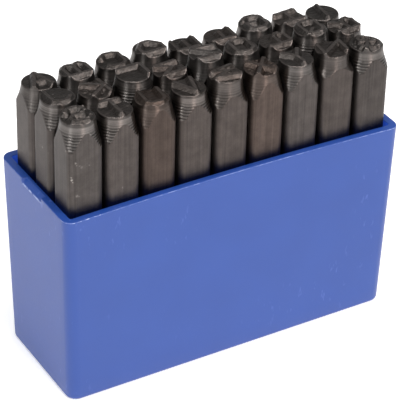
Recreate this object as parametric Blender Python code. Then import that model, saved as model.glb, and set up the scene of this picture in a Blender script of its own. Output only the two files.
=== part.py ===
"""Open plastic case of square-shank steel letter punches, one object per loose piece."""

import math

import bmesh
import bpy
from mathutils import Matrix

MM = 0.001

# Case, outside sizes at the rim.
CASE_LENGTH = 103.6 * MM
CASE_WIDTH = 39.2 * MM
CASE_HEIGHT = 59.0 * MM
CASE_CORNER = 3.1 * MM
CASE_DRAFT = math.radians(1.2)
CAVITY_DRAFT = math.radians(0.15)
CASE_FOOT_ROUND = 1.0 * MM
WALL = 2.3 * MM
FLOOR = 2.5 * MM
CAVITY_CORNER = 1.6 * MM
OUTER_BOW = 1.5 * MM
CAVITY_BOW = 1.2 * MM

# Finger recess in the rim of each end wall: a notch that slopes down to the outside.
RECESS_FRONT = -4.9 * MM
RECESS_BACK = 5.9 * MM
RECESS_DEPTH = 1.45 * MM
RECESS_DROP = 1.5 * MM
RECESS_OVERCUT = 0.5

# Punches.
SHANK = 10.0 * MM
SHANK_CORNER = 1.9 * MM
COLUMN_PITCH = 11.0 * MM
ROW_Y = {"front": -11.6 * MM, "middle": -0.2 * MM, "back": 10.7 * MM}
ROW_LETTERS = {"front": "stuvwxyz&", "middle": "jklmnopqr", "back": "abcdefghi"}
PUNCH_LENGTH = 82.2 * MM
FLOOR_GAP = 0.3 * MM
HEAD_RADIUS = 4.75 * MM
FACE_RADIUS = 4.5 * MM
SHOULDER_DROP = 4.5 * MM
NECK_DROP = 7.2 * MM
NECK_RADIUS = 6.45 * MM
TURNING_FACETS = 24

# Characters.
CHARACTER_HEIGHT = 6.6 * MM
CHARACTER_WIDTH = 5.2 * MM
RELIEF = 1.2 * MM
LAND_WIDTH = 1.0 * MM
ROOT_WIDTH = 2.2 * MM
RIDGE_SINK = 0.3 * MM

# A stroke visits points of a five by seven grid: columns a to e, rows 1 to 7.
STROKES = {
    "a": ("a1 c7 e1", "b3 d3"),
    "b": ("a1 a7 d7 e6 e5 d4 a4", "d4 e3 e2 d1 a1"),
    "c": ("e6 d7 b7 a6 a2 b1 d1 e2",),
    "d": ("a1 a7 c7 e5 e3 c1 a1",),
    "e": ("e7 a7 a1 e1", "a4 d4"),
    "f": ("e7 a7 a1", "a4 d4"),
    "g": ("e6 d7 b7 a6 a2 b1 d1 e2 e4 c4",),
    "h": ("a1 a7", "e1 e7", "a4 e4"),
    "i": ("c1 c7",),
    "j": ("e7 e2 d1 b1 a2",),
    "k": ("a1 a7", "e7 a4 e1"),
    "l": ("a7 a1 e1",),
    "m": ("a1 a7 c3 e7 e1",),
    "n": ("a1 a7 e1 e7",),
    "o": ("b7 a6 a2 b1 d1 e2 e6 d7 b7",),
    "p": ("a1 a7 d7 e6 e5 d4 a4",),
    "q": ("b7 a6 a2 b1 d1 e2 e6 d7 b7", "c3 e1"),
    "r": ("a1 a7 d7 e6 e5 d4 a4", "c4 e1"),
    "s": ("e6 d7 b7 a6 a5 b4 d4 e3 e2 d1 b1 a2",),
    "t": ("a7 e7", "c7 c1"),
    "u": ("a7 a2 b1 d1 e2 e7",),
    "v": ("a7 c1 e7",),
    "w": ("a7 b1 c5 d1 e7",),
    "x": ("a1 e7", "a7 e1"),
    "y": ("a7 c4 e7", "c4 c1"),
    "z": ("a7 e7 a1 e1",),
    "&": ("e1 b5 b6 c7 d6 d5 a3 a2 b1 c1 e3",),
}
SIDEWAYS_LEFT = "lmnz"
SIDEWAYS_RIGHT = "bdefhprw"

# Hand-ground lengths: how far each head stands above or below the usual length.
LONG_BY_TWO = "ln"
LONG_BY_ONE = "sdjoqw"
SHORT_BY_ONE = "efhr&"
SHORT_BY_TWO = "i"

BLUE = (0.035, 0.085, 0.42, 1.0)
STEEL = (0.085, 0.078, 0.070, 1.0)


def clear_scene():
    """Empty the scene of every object."""
    for item in list(bpy.data.objects):
        bpy.data.objects.remove(item, do_unlink=True)


def make_collection(name):
    """Return a new collection linked to the scene."""
    group = bpy.data.collections.new(name)
    bpy.context.scene.collection.children.link(group)
    return group


def principled(name, colour, roughness, metallic):
    """Return a material with one Principled BSDF."""
    material = bpy.data.materials.new(name)
    material.use_nodes = True
    shader = material.node_tree.nodes["Principled BSDF"]
    shader.inputs["Base Color"].default_value = colour
    shader.inputs["Roughness"].default_value = roughness
    shader.inputs["Metallic"].default_value = metallic
    return material


def object_from(bm, name, group):
    """Turn a bmesh into a linked object."""
    bmesh.ops.recalc_face_normals(bm, faces=bm.faces)
    mesh = bpy.data.meshes.new(name)
    bm.to_mesh(mesh)
    bm.free()
    item = bpy.data.objects.new(name, mesh)
    group.objects.link(item)
    return item


def upright_edges(bm):
    """Return the edges that run along Z."""
    found = []
    for edge in bm.edges:
        run = edge.verts[1].co - edge.verts[0].co
        if abs(run.z) > 0.99 * run.length:
            found.append(edge)
    return found


def rounded_prism(length, width, low, high, corner, segments):
    """Return a bmesh block standing from low to high with rounded upright edges."""
    bm = bmesh.new()
    bmesh.ops.create_cube(bm, size=1.0)
    middle = (low + high) / 2
    placed = Matrix.Translation((0, 0, middle)) @ Matrix.Diagonal((length, width, high - low, 1))
    bmesh.ops.transform(bm, matrix=placed, verts=bm.verts)
    bmesh.ops.bevel(
        bm, geom=upright_edges(bm), offset=corner, segments=segments, profile=0.5, affect="EDGES"
    )
    return bm


def cut_levels(bm, positions, axis):
    """Slice a bmesh by planes across one axis, to give the walls something to bend at."""
    normal = [0.0, 0.0, 0.0]
    normal[axis] = 1.0
    for position in positions:
        point = [0.0, 0.0, 0.0]
        point[axis] = position
        everything = bm.verts[:] + bm.edges[:] + bm.faces[:]
        bmesh.ops.bisect_plane(bm, geom=everything, plane_co=point, plane_no=normal, dist=1e-7)


def lean_and_bow(bm, length, width, draft, bow):
    """Taper a block towards its foot and bow its front wall in towards the rim."""
    half_length = length / 2
    for vert in bm.verts:
        inset = (CASE_HEIGHT - vert.co.z) * math.tan(draft)
        along = vert.co.x / half_length
        vert.co.x *= (half_length - inset) / half_length
        vert.co.y *= (width / 2 - inset) / (width / 2)
        if vert.co.y < 0:
            raised = max(0.0, min(1.0, vert.co.z / CASE_HEIGHT))
            vert.co.y += bow * raised * raised * max(0.0, 1 - along * along)


def case_block(length, width, low, high, corner, foot, draft, bow):
    """Return one of the two drafted blocks that the case is made from."""
    bm = rounded_prism(length, width, low, high, corner, 4)
    if foot > 0:
        lowest = [e for e in bm.edges if max(v.co.z for v in e.verts) < low + 1e-7]
        bmesh.ops.bevel(bm, geom=lowest, offset=foot, segments=2, profile=0.5, affect="EDGES")
    cut_levels(bm, [length * step / 8 for step in (-3, -2, -1, 0, 1, 2, 3)], 0)
    cut_levels(bm, [CASE_HEIGHT * step / 3 for step in (1, 2)], 2)
    lean_and_bow(bm, length, width, draft, bow)
    return bm


def cut_with(target, cutter, operation):
    """Add an exact Boolean to the target."""
    modifier = target.modifiers.new(operation.title(), "BOOLEAN")
    modifier.operation = operation
    modifier.solver = "EXACT"
    modifier.object = cutter


def hide_cutter(cutter):
    """Show a cutting solid as a wire frame only."""
    cutter.display_type = "WIRE"
    cutter.hide_render = True


def recess_cutter(side, cutters):
    """Return the wedge that cuts the recess into one end wall; side is -1 for the left."""
    inner = CASE_LENGTH / 2 - (1 + RECESS_OVERCUT) * RECESS_DEPTH
    outer = CASE_LENGTH / 2 + RECESS_OVERCUT * RECESS_DEPTH
    top = CASE_HEIGHT + RECESS_OVERCUT * RECESS_DROP
    low = CASE_HEIGHT - (1 + RECESS_OVERCUT) * RECESS_DROP
    bm = bmesh.new()
    ends = []
    for y in (RECESS_FRONT, RECESS_BACK):
        ends.append([bm.verts.new((side * x, y, z)) for x, z in ((inner, top), (outer, low), (outer, top))])
    front, back = ends
    bm.faces.new(front)
    bm.faces.new(back[::-1])
    for i in range(3):
        j = (i + 1) % 3
        bm.faces.new((front[i], back[i], back[j], front[j]))
    return object_from(bm, "recess_cutter_" + ("left" if side < 0 else "right"), cutters)


def build_case(parts, cutters):
    """Build the open case with its cavity and the finger recess at each end."""
    outer = case_block(
        CASE_LENGTH,
        CASE_WIDTH,
        0.0,
        CASE_HEIGHT,
        CASE_CORNER,
        CASE_FOOT_ROUND,
        CASE_DRAFT,
        OUTER_BOW,
    )
    case = object_from(outer, "case_box", parts)
    case.data.materials.append(principled("blue_plastic", BLUE, 0.32, 0.0))
    shade(case)
    cavity = object_from(
        case_block(
            CASE_LENGTH - 2 * WALL,
            CASE_WIDTH - 2 * WALL,
            FLOOR,
            CASE_HEIGHT + 2 * MM,
            CAVITY_CORNER,
            0.0,
            CAVITY_DRAFT,
            CAVITY_BOW,
        ),
        "cavity_cutter",
        cutters,
    )
    hide_cutter(cavity)
    cut_with(case, cavity, "DIFFERENCE")
    for side in (-1, 1):
        recess = recess_cutter(side, cutters)
        hide_cutter(recess)
        cut_with(case, recess, "DIFFERENCE")


def turning_tool(cutters, length):
    """Return the turned solid that the bar and its character keep inside of."""
    top = length + 0.2 * MM
    outline = [
        (0.0, 0.0),
        (5.75 * MM, 0.0),
        (NECK_RADIUS, 0.8 * MM),
        (NECK_RADIUS, length - NECK_DROP),
        (SHANK / 2, length - SHOULDER_DROP),
        (HEAD_RADIUS, length - RELIEF),
        (FACE_RADIUS, top),
        (0.0, top),
    ]
    bm = bmesh.new()
    verts = [bm.verts.new((radius, 0.0, z)) for radius, z in outline]
    edges = [bm.edges.new(pair) for pair in zip(verts, verts[1:])]
    bmesh.ops.spin(
        bm,
        geom=verts + edges,
        cent=(0, 0, 0),
        axis=(0, 0, 1),
        angle=math.tau,
        steps=TURNING_FACETS,
        use_merge=True,
    )
    bmesh.ops.remove_doubles(bm, verts=bm.verts, dist=1e-7)
    return object_from(bm, "turning_tool", cutters)


def grid_point(code):
    """Return where a grid point lies on the head, mirrored as on a real punch."""
    across = "abcde".index(code[0]) / 4 - 0.5
    up = (int(code[1]) - 1) / 6 - 0.5
    return (-across * CHARACTER_WIDTH, up * CHARACTER_HEIGHT)


def add_ridge(bm, start, end, foot, top):
    """Add one straight stroke with sloping sides to a bmesh."""
    run = math.dist(start, end)
    heading = math.atan2(end[1] - start[1], end[0] - start[0])
    made = bmesh.ops.create_cube(bm, size=1.0)["verts"]
    for vert in made:
        width = LAND_WIDTH if vert.co.z > 0 else ROOT_WIDTH
        vert.co.x *= run + width
        vert.co.y *= width
        vert.co.z = top if vert.co.z > 0 else foot
    centre = ((start[0] + end[0]) / 2, (start[1] + end[1]) / 2, 0)
    place = Matrix.Translation(centre) @ Matrix.Rotation(heading, 4, "Z")
    bmesh.ops.transform(bm, matrix=place, verts=made)


def character_tool(letter, cutters, length):
    """Return all the ridges of one character, still as separate overlapping solids."""
    bm = bmesh.new()
    for stroke in STROKES[letter]:
        points = [grid_point(code) for code in stroke.split()]
        for start, end in zip(points, points[1:]):
            add_ridge(bm, start, end, length - RELIEF - RIDGE_SINK, length)
    return object_from(bm, "character_tool", cutters)


def punch_length(letter):
    """Return the overall length of one punch."""
    extra = 0.0
    extra += 2 * MM * (letter in LONG_BY_TWO)
    extra += 1 * MM * (letter in LONG_BY_ONE)
    extra -= 1 * MM * (letter in SHORT_BY_ONE)
    extra -= 2 * MM * (letter in SHORT_BY_TWO)
    return PUNCH_LENGTH + extra


def bake(item):
    """Replace an object's mesh by what its modifiers make of it."""
    graph = bpy.context.evaluated_depsgraph_get()
    item.data = bpy.data.meshes.new_from_object(item.evaluated_get(graph))
    item.modifiers.clear()


def shade(item):
    """Shade turned and rounded faces smooth and leave crisp edges sharp."""
    for face in item.data.polygons:
        face.use_smooth = True
    item.data.set_sharp_from_angle(angle=math.radians(32))


def build_punch(letter, x, y, parts, cutters):
    """Build one punch: square bar, turned neck and a raised mirrored character."""
    length = punch_length(letter)
    name = "punch_" + ("ampersand" if letter == "&" else letter)
    bar = rounded_prism(SHANK, SHANK, -MM, length - RELIEF, SHANK_CORNER, 3)
    punch = object_from(bar, name, parts)
    turning = turning_tool(cutters, length)
    character = character_tool(letter, cutters, length)
    cut_with(punch, character, "UNION")
    punch.modifiers[-1].use_self = True
    cut_with(punch, turning, "INTERSECT")
    bake(punch)
    bpy.data.objects.remove(turning, do_unlink=True)
    bpy.data.objects.remove(character, do_unlink=True)
    shade(punch)
    punch.data.materials.clear()
    punch.data.materials.append(principled(name + "_steel", STEEL, 0.45, 0.9))
    punch.location = (x, y, FLOOR + FLOOR_GAP)
    turns = (letter in SIDEWAYS_LEFT) - (letter in SIDEWAYS_RIGHT)
    punch.rotation_euler = (0.0, 0.0, turns * math.pi / 2)


def build_punches(parts, cutters):
    """Stand the punches in the case, row by row."""
    for row, letters in ROW_LETTERS.items():
        for place, letter in enumerate(letters):
            x = (place - (len(letters) - 1) / 2) * COLUMN_PITCH
            bow = CAVITY_BOW * max(0.0, 1 - (2 * x / CASE_LENGTH) ** 2)
            y = ROW_Y[row] + (bow if row == "front" else 0.0)
            build_punch(letter, x, y, parts, cutters)


clear_scene()
case_parts = make_collection("letter_punch_case")
case_cutters = make_collection("cutters")
build_case(case_parts, case_cutters)
build_punches(case_parts, case_cutters)
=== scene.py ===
"""Looks of a letter punch set: an open moulded case and the steel punches standing in it."""

import logging
import math
import random
from dataclasses import dataclass, replace
from enum import Enum
from typing import Any, Iterable, Mapping, Sequence

import bpy
import numpy as np
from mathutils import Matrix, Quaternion, Vector, noise
from mathutils.geometry import delaunay_2d_cdt


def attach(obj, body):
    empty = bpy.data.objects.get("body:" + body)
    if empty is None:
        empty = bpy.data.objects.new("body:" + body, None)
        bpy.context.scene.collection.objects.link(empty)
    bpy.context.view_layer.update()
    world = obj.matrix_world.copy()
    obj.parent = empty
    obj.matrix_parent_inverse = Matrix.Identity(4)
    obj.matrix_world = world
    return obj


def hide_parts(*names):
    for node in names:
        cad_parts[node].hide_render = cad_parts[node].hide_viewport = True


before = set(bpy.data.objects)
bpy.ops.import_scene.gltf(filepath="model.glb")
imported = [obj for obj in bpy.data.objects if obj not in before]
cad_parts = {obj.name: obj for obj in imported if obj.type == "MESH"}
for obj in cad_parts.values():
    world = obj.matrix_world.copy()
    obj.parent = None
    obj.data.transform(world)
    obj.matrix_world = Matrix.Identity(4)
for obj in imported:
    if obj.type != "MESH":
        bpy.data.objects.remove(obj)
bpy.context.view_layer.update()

MM = 0.001
LOG = logging.getLogger("letter_punches")


def linear(hex_colour: str, alpha: float = 1.0) -> tuple[float, float, float, float]:
    """Turn an sRGB hex colour into linear values.

    Args:
        hex_colour: Colour such as "#19469E".
        alpha: Opacity to append.

    Returns:
        Linear red, green and blue, then alpha.
    """
    channels = []
    for start in (1, 3, 5):
        value = int(hex_colour[start : start + 2], 16) / 255
        channels.append(value / 12.92 if value <= 0.04045 else ((value + 0.055) / 1.055) ** 2.4)
    return (channels[0], channels[1], channels[2], alpha)


def add_node(
    tree: bpy.types.NodeTree,
    kind: str,
    sockets: Mapping[Any, Any] | None = None,
    links: Mapping[Any, bpy.types.NodeSocket] | None = None,
    **properties: Any,
) -> bpy.types.Node:
    """Add a node with its settings and links.

    Args:
        tree: Node tree to add to.
        kind: Node type, without the "ShaderNode" prefix.
        sockets: Input name or index to the value set on it.
        links: Input name or index to the output that feeds it.
        **properties: Properties set on the node itself.

    Returns:
        The new node.
    """
    node = tree.nodes.new("ShaderNode" + kind)
    for name, value in properties.items():
        setattr(node, name, value)
    for key, value in (sockets or {}).items():
        node.inputs[key].default_value = value
    for key, output in (links or {}).items():
        tree.links.new(output, node.inputs[key])
    return node


def set_ramp(node: bpy.types.Node, stops: Sequence[tuple[float, tuple[float, ...]]]) -> None:
    """Give a colour ramp its stops.

    Args:
        node: Colour ramp node.
        stops: Position and linear colour of each stop, in order.
    """
    elements = node.color_ramp.elements
    while len(elements) < len(stops):
        elements.new(1.0)
    for element, (position, colour) in zip(elements, stops):
        element.position = position
        element.color = colour


def grey(value: float) -> tuple[float, float, float, float]:
    """Return an opaque linear grey."""
    return (value, value, value, 1.0)


class SteelSurface(Enum):
    """How each stretch of a punch's surface was made, in material slot order."""

    DRAWN = 0
    TURNED = 1
    MILLED = 2
    RUBBED = 3


@dataclass(frozen=True)
class MouldedPolypropylene:
    """Deep blue polypropylene, injection moulded.

    A satin skin from a finely stoned mould, a few handling scuffs, and a painted highlight: a pale broken
    line along the rim's outer edge. A painted glow, an emission, lights the inside of the wall near the
    rim.
    """

    colour: str = "#1B3F89"
    faded: str = "#1E438F"
    # Colour of the painted highlight along the rim's outer edge.
    scuff: str = "#5C74C4"
    rim_highlight_colour: str = "#B9C6EC"
    # Colour and strength of the painted glow inside the wall.
    lit_through: str = "#2A50C8"
    painted_glow_strength: float = 0.45
    roughness: float = 0.40
    ior: float = 1.5
    mottle_mm: float = 16.0
    patch_mm: float = 24.0
    scuff_mm: float = 1.6
    scuff_share: float = 0.35
    highlight_breaks_per_mm: float = 0.5
    stoning_per_mm: float = 2.2
    sink_mm: float = 14.0
    stoning_depth_mm: float = 0.01

    def material(self, name: str) -> bpy.types.Material:
        """Build the node material.

        Args:
            name: Material name.

        Returns:
            The material.
        """
        material = bpy.data.materials.new(name)
        material.use_nodes = True
        tree = material.node_tree
        shader = tree.nodes["Principled BSDF"]
        shader.inputs["IOR"].default_value = self.ior
        place = add_node(tree, "TexCoord")
        in_mm = add_node(
            tree,
            "VectorMath",
            {"Scale": 1 / MM},
            {0: place.outputs["Object"]},
            operation="SCALE",
        ).outputs[0]
        colour = self.pigment(tree, in_mm)
        colour = self.rub_marks(tree, in_mm, colour)
        colour = self.paint_rim_highlight(tree, in_mm, colour)
        tree.links.new(colour, shader.inputs["Base Color"])
        self.let_light_through(tree, shader)
        self.stone_skin(tree, in_mm, shader)
        return material

    def pigment(self, tree: bpy.types.NodeTree, in_mm: bpy.types.NodeSocket) -> bpy.types.NodeSocket:
        """Add the body colour.

        Args:
            tree: Node tree to add to.
            in_mm: Coordinates in millimetres.

        Returns:
            Colour output.
        """
        # Melt flow leaves the pigment a shade lighter in slow clouds.
        cloud = add_node(
            tree,
            "TexNoise",
            {"Scale": 1 / self.mottle_mm, "Detail": 3.0, "Roughness": 0.55},
            {"Vector": in_mm},
        )
        body = add_node(tree, "ValToRGB", links={"Fac": cloud.outputs["Fac"]})
        set_ramp(body, [(0.25, linear(self.colour)), (0.75, linear(self.faded))])
        return body.outputs["Color"]

    def rub_marks(
        self,
        tree: bpy.types.NodeTree,
        in_mm: bpy.types.NodeSocket,
        colour: bpy.types.NodeSocket,
    ) -> bpy.types.NodeSocket:
        """Add the short pale marks that handling leaves in patches.

        Args:
            tree: Node tree to add to.
            in_mm: Coordinates in millimetres.
            colour: Colour so far.

        Returns:
            The new colour.
        """
        patches = add_node(
            tree,
            "TexNoise",
            {"Scale": 1 / self.patch_mm, "Detail": 1.0},
            {"Vector": in_mm},
        )
        patch_mask = add_node(tree, "ValToRGB", links={"Fac": patches.outputs["Fac"]})
        set_ramp(patch_mask, [(0.52, grey(0.0)), (0.66, grey(1.0))])
        stretched = add_node(
            tree,
            "Mapping",
            {"Rotation": (0.3, 0.6, 0.5), "Scale": (1.0, 1.0, 0.35)},
            {"Vector": in_mm},
        )
        marks = add_node(
            tree,
            "TexNoise",
            {"Scale": 1 / self.scuff_mm, "Detail": 2.0, "Roughness": 0.7},
            {"Vector": stretched.outputs["Vector"]},
        )
        mark_mask = add_node(tree, "ValToRGB", links={"Fac": marks.outputs["Fac"]})
        set_ramp(mark_mask, [(0.63, grey(0.0)), (0.74, grey(1.0))])
        worn = add_node(
            tree,
            "Math",
            links={0: patch_mask.outputs["Color"], 1: mark_mask.outputs["Color"]},
            operation="MULTIPLY",
        )
        share = add_node(tree, "Math", {1: self.scuff_share}, {0: worn.outputs[0]}, operation="MULTIPLY")
        rubbed = add_node(
            tree,
            "MixRGB",
            {"Color2": linear(self.scuff)},
            {"Fac": share.outputs[0], "Color1": colour},
        )
        return rubbed.outputs["Color"]

    def paint_rim_highlight(
        self,
        tree: bpy.types.NodeTree,
        in_mm: bpy.types.NodeSocket,
        colour: bpy.types.NodeSocket,
    ) -> bpy.types.NodeSocket:
        """Paint a highlight: a pale, broken line along the outer edges of the rim and the recess floor.

        Args:
            tree: Node tree to add to.
            in_mm: Coordinates in millimetres.
            colour: Colour so far.

        Returns:
            The new colour.
        """
        # Painted highlight: a pale line stands in for the light caught by the rim's rounded outer edge.
        painted_rim_highlight = add_node(tree, "Attribute", attribute_name="painted_rim_highlight")
        broken = add_node(
            tree,
            "TexNoise",
            {"Scale": self.highlight_breaks_per_mm, "Detail": 4.0, "Roughness": 0.7},
            {"Vector": in_mm},
        )
        remains = add_node(
            tree,
            "MapRange",
            {"From Min": 0.42, "From Max": 0.60, "To Min": 0.05, "To Max": 1.0},
            {"Value": broken.outputs["Fac"]},
        )
        line = add_node(
            tree,
            "Math",
            links={0: painted_rim_highlight.outputs["Fac"], 1: remains.outputs["Result"]},
            operation="MULTIPLY",
        )
        edged = add_node(
            tree,
            "MixRGB",
            {"Color2": linear(self.rim_highlight_colour)},
            {"Fac": line.outputs[0], "Color1": colour},
        )
        return edged.outputs["Color"]

    def let_light_through(self, tree: bpy.types.NodeTree, shader: bpy.types.Node) -> None:
        """Paint a deep blue glow on the wall's inside near the rim, with an emission.

        Args:
            tree: Node tree to add to.
            shader: Shader to feed.
        """
        # Painted light: an emission on the inside of the wall, strongest at the rim, brightens the wall
        # and the punches' feet beside it.
        through = add_node(tree, "Attribute", attribute_name="through")
        painted_glow_strength = add_node(tree, "Math", {1: self.painted_glow_strength}, {0: through.outputs["Fac"]}, operation="MULTIPLY")
        shader.inputs["Emission Color"].default_value = linear(self.lit_through)
        tree.links.new(painted_glow_strength.outputs[0], shader.inputs["Emission Strength"])

    def stone_skin(
        self,
        tree: bpy.types.NodeTree,
        in_mm: bpy.types.NodeSocket,
        shader: bpy.types.Node,
    ) -> None:
        """Break up the gloss with the mould's fine stoned texture.

        Args:
            tree: Node tree to add to.
            in_mm: Coordinates in millimetres.
            shader: Shader to feed.
        """
        grain = add_node(
            tree,
            "TexNoise",
            {"Scale": self.stoning_per_mm, "Detail": 2.0, "Roughness": 0.6},
            {"Vector": in_mm},
        )
        gloss = add_node(
            tree,
            "MapRange",
            {"To Min": self.roughness - 0.02, "To Max": self.roughness + 0.04},
            {"Value": grain.outputs["Fac"]},
        )
        tree.links.new(gloss.outputs["Result"], shader.inputs["Roughness"])
        # Sink marks make long, very shallow waves; the grain sits on top of them.
        waves = add_node(tree, "TexNoise", {"Scale": 1 / self.sink_mm, "Detail": 1.0}, {"Vector": in_mm})
        relief = add_node(
            tree,
            "Math",
            {1: 12.0},
            {0: waves.outputs["Fac"], 2: grain.outputs["Fac"]},
            operation="MULTIPLY_ADD",
        )
        bump = add_node(
            tree,
            "Bump",
            {"Strength": 0.10, "Distance": self.stoning_depth_mm * MM},
            {"Height": relief.outputs[0]},
        )
        tree.links.new(bump.outputs["Normal"], shader.inputs["Normal"])


@dataclass(frozen=True)
class Nick:
    """One knock that bares the steel, placed in millimetres from the middle of the punch's foot."""

    x: float
    y: float
    z: float
    size: float
    brightness: float = 0.35


@dataclass(frozen=True)
class BlackenedSteel:
    """Blackened tool steel: a brown-black oxide skin over the marks of how each face was made."""

    surface: SteelSurface
    colour: str
    bright: str
    roughness: float
    line_spacing_mm: float
    line_depth_mm: float
    line_contrast: float
    anisotropy: float = 0.0
    chips_per_mm: float = 0.35
    chip_size: float = 0.34
    nicks: tuple[Nick, ...] = ()
    bronze: str = "#4A3A31"
    clouds_per_mm: float = 0.32
    speckles_per_mm: float = 2.4

    def material(self, name: str) -> bpy.types.Material:
        """Build the node material.

        Args:
            name: Material name.

        Returns:
            The material.
        """
        material = bpy.data.materials.new(name)
        material.use_nodes = True
        tree = material.node_tree
        shader = tree.nodes["Principled BSDF"]
        shader.inputs["Metallic"].default_value = 1.0
        place = add_node(tree, "TexCoord")
        own = add_node(tree, "Attribute", attribute_name="drift")
        in_mm = add_node(
            tree,
            "VectorMath",
            {1: (1 / MM, 1 / MM, 1 / MM)},
            {0: place.outputs["Object"], 2: own.outputs["Vector"]},
            operation="MULTIPLY_ADD",
        ).outputs[0]
        lines = self.tool_lines(tree, in_mm)
        # The oxide grows in clouds a few millimetres across.
        cloud = add_node(
            tree,
            "TexNoise",
            {"Scale": self.clouds_per_mm, "Detail": 5.0, "Roughness": 0.62},
            {"Vector": in_mm},
        ).outputs["Fac"]
        fine = add_node(
            tree,
            "TexNoise",
            {"Scale": self.speckles_per_mm, "Detail": 3.0, "Roughness": 0.7},
            {"Vector": in_mm},
        ).outputs["Fac"]
        skin = self.oxide(tree, lines, cloud, fine)
        exposed = self.bare_steel(tree, place.outputs["Object"], in_mm, cloud, fine)
        coloured = add_node(
            tree,
            "MixRGB",
            {"Color2": linear(self.bright)},
            {"Fac": exposed, "Color1": skin},
        )
        tree.links.new(coloured.outputs["Color"], shader.inputs["Base Color"])
        self.relief(tree, shader, lines, fine, exposed)
        if self.anisotropy:
            self.draw_out_highlights(tree, shader)
        return material

    def oxide(
        self,
        tree: bpy.types.NodeTree,
        lines: bpy.types.NodeSocket,
        cloud: bpy.types.NodeSocket,
        fine: bpy.types.NodeSocket,
    ) -> bpy.types.NodeSocket:
        """Add the colour of the oxide skin.

        Args:
            tree: Node tree to add to.
            lines: Lines that the making left.
            cloud: Clouds of oxide a few millimetres across.
            fine: Specks of oxide.

        Returns:
            Colour output.
        """
        tone = add_node(
            tree,
            "MapRange",
            {"From Min": 0.25, "From Max": 0.75, "To Min": 0.80, "To Max": 1.20},
            {"Value": cloud},
        )
        lined = add_node(
            tree,
            "MapRange",
            {
                "From Min": 0.3,
                "From Max": 0.7,
                "To Min": 1 - self.line_contrast,
                "To Max": 1 + self.line_contrast,
            },
            {"Value": lines},
        )
        speckled = add_node(
            tree,
            "MapRange",
            {"From Min": 0.25, "From Max": 0.75, "To Min": 0.88, "To Max": 1.12},
            {"Value": fine},
        )
        # The shade attribute holds each bar's own tone and, on the neck, painted highlights on the ring
        # crests and painted shade in the grooves.
        shade = add_node(tree, "Attribute", attribute_name="shade")
        level = tone.outputs["Result"]
        for factor in (lined.outputs["Result"], speckled.outputs["Result"], shade.outputs["Fac"]):
            product = add_node(tree, "Math", links={0: level, 1: factor}, operation="MULTIPLY")
            level = product.outputs[0]
        # Each bar's heat leaves its own brown: from grey through to a reddish bronze.
        warmth = add_node(tree, "Attribute", attribute_name="warmth")
        tint = add_node(
            tree,
            "MixRGB",
            {"Color1": linear(self.colour), "Color2": linear(self.bronze)},
            {"Fac": warmth.outputs["Fac"]},
        )
        toned = add_node(
            tree,
            "VectorMath",
            links={0: tint.outputs["Color"], "Scale": level},
            operation="SCALE",
        )
        return toned.outputs[0]

    def bare_steel(
        self,
        tree: bpy.types.NodeTree,
        place: bpy.types.NodeSocket,
        in_mm: bpy.types.NodeSocket,
        cloud: bpy.types.NodeSocket,
        fine: bpy.types.NodeSocket,
    ) -> bpy.types.NodeSocket:
        """Add the mask of the bare steel that knocks and burrs show.

        Args:
            tree: Node tree to add to.
            place: Coordinates in metres.
            in_mm: Coordinates in millimetres, apart from those of the other punches.
            cloud: Clouds of oxide a few millimetres across.
            fine: Specks of oxide.

        Returns:
            Output with values from 0 to 1.
        """
        chips = add_node(
            tree,
            "TexVoronoi",
            {"Scale": self.chips_per_mm, "Randomness": 1.0},
            {"Vector": in_mm},
        )
        ragged = add_node(
            tree,
            "Math",
            {1: 0.35},
            {0: fine, 2: chips.outputs["Distance"]},
            operation="MULTIPLY_ADD",
        )
        wear = add_node(tree, "Attribute", attribute_name="wear")
        patch = add_node(
            tree,
            "MapRange",
            {"From Min": 0.50, "From Max": 0.62, "To Min": 0.02, "To Max": self.chip_size},
            {"Value": cloud},
        )
        reach = add_node(
            tree,
            "Math",
            {2: 0.02},
            {0: wear.outputs["Fac"], 1: patch.outputs["Result"]},
            operation="MULTIPLY_ADD",
        )
        bare = add_node(
            tree,
            "MapRange",
            {"To Min": 1.0, "To Max": 0.0},
            {"Value": ragged.outputs[0], "From Max": reach.outputs[0]},
        )
        exposed = bare.outputs["Result"]
        for nick in self.nicks:
            exposed = self.knock(tree, place, fine, exposed, nick)
        return exposed

    def relief(
        self,
        tree: bpy.types.NodeTree,
        shader: bpy.types.Node,
        lines: bpy.types.NodeSocket,
        fine: bpy.types.NodeSocket,
        exposed: bpy.types.NodeSocket,
    ) -> None:
        """Break up the gloss, and raise the lines, specks and dents.

        Args:
            tree: Node tree to add to.
            shader: Shader to feed.
            lines: Lines that the making left.
            fine: Specks of oxide.
            exposed: Mask of bare steel.
        """
        gloss = add_node(
            tree,
            "MapRange",
            {
                "From Min": 0.25,
                "From Max": 0.75,
                "To Min": self.roughness - 0.07,
                "To Max": self.roughness + 0.09,
            },
            {"Value": fine},
        )
        tree.links.new(gloss.outputs["Result"], shader.inputs["Roughness"])
        height = add_node(
            tree,
            "Math",
            {1: 0.6},
            {0: fine, 2: lines},
            operation="MULTIPLY_ADD",
        )
        if self.nicks:
            # A knock is a dent as well as a bright spot.
            height = add_node(
                tree,
                "Math",
                {1: -4.0},
                {0: exposed, 2: height.outputs[0]},
                operation="MULTIPLY_ADD",
            )
        bump = add_node(
            tree,
            "Bump",
            {"Strength": 1.0, "Distance": self.line_depth_mm * MM},
            {"Height": height.outputs[0]},
        )
        tree.links.new(bump.outputs["Normal"], shader.inputs["Normal"])

    def draw_out_highlights(self, tree: bpy.types.NodeTree, shader: bpy.types.Node) -> None:
        """Draw the highlights out across the tool lines.

        Turning marks run round the neck, so its highlights spread up and down. Die lines run
        up the bar, so there they spread sideways.

        Args:
            tree: Node tree to add to.
            shader: Shader to feed.
        """
        shader.inputs["Anisotropic"].default_value = self.anisotropy
        turned = self.surface is SteelSurface.TURNED
        shader.inputs["Anisotropic Rotation"].default_value = 0.25 if turned else 0.0
        around = add_node(tree, "Tangent", direction_type="RADIAL", axis="Z")
        tree.links.new(around.outputs["Tangent"], shader.inputs["Tangent"])

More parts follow.
